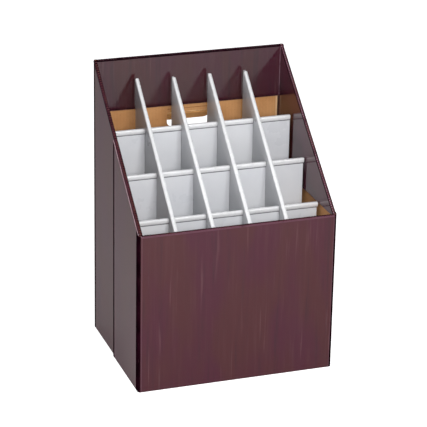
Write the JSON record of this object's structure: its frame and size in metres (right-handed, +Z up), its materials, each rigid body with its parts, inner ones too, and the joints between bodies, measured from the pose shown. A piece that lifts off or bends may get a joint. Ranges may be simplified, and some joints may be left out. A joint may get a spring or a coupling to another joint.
{
  "type": "upright roll file",
  "caption": "Slant-topped upright box of folded wood-grain board with a hand hole, holding a lift-out egg-crate of white boards with plastic edge channels for rolled drawings.",
  "frame": {"origin": "centre of the box's footprint on the floor, leaving out the hand hole flap that stands out behind", "axes": "+Z up, the low front faces -Y, +X to the right seen from the front"},
  "size_m": [0.381, 0.324, 0.547],
  "materials": {
    "woodgrain_board": "red-brown wood-grain print with a satin sheen on corrugated board, bare kraft on the unprinted side",
    "kraft_board": "bare kraft liner, matt",
    "white_board": "white-faced board, smooth",
    "white_plastic": "white extruded channel, satin gloss"
  },
  "bodies": {
    "shell": {"front_panel": "woodgrain_board", "right_panel": "woodgrain_board", "back_panel": "woodgrain_board", "left_panel": "woodgrain_board", "left_overlap_flap": "woodgrain_board", "front_hem": "woodgrain_board", "back_hem": "woodgrain_board", "right_hem": "woodgrain_board", "left_hem": "woodgrain_board", "bottom_flap_front": "kraft_board", "bottom_flap_back": "kraft_board", "bottom_flap_left": "kraft_board", "bottom_flap_right": "kraft_board"},
    "hand_flap": {"hand_hole_flap": "woodgrain_board"},
    "insert": {"long_partition_1": "white_board", "long_partition_2": "white_board", "long_partition_3": "white_board", "long_partition_4": "white_board", "long_moulding_1": "white_plastic", "long_moulding_2": "white_plastic", "long_moulding_3": "white_plastic", "long_moulding_4": "white_plastic", "cross_partition_front": "white_board", "cross_partition_middle": "white_board", "cross_partition_back": "white_board", "cross_moulding_front": "white_plastic", "cross_moulding_middle": "white_plastic", "cross_moulding_back": "white_plastic"}
  },
  "joints": [
    {"name": "hand_flap_fold", "type": "hinge", "parent": "shell", "child": "hand_flap", "pos_m": [0, 0.1525, 0.4275], "axis": [1, 0, 0], "range_deg": [-45, 45]},
    {"name": "insert_lift", "type": "slide", "parent": "shell", "child": "insert", "axis": [0, 0, 1], "range_m": [0, 0.56]}
  ]
}
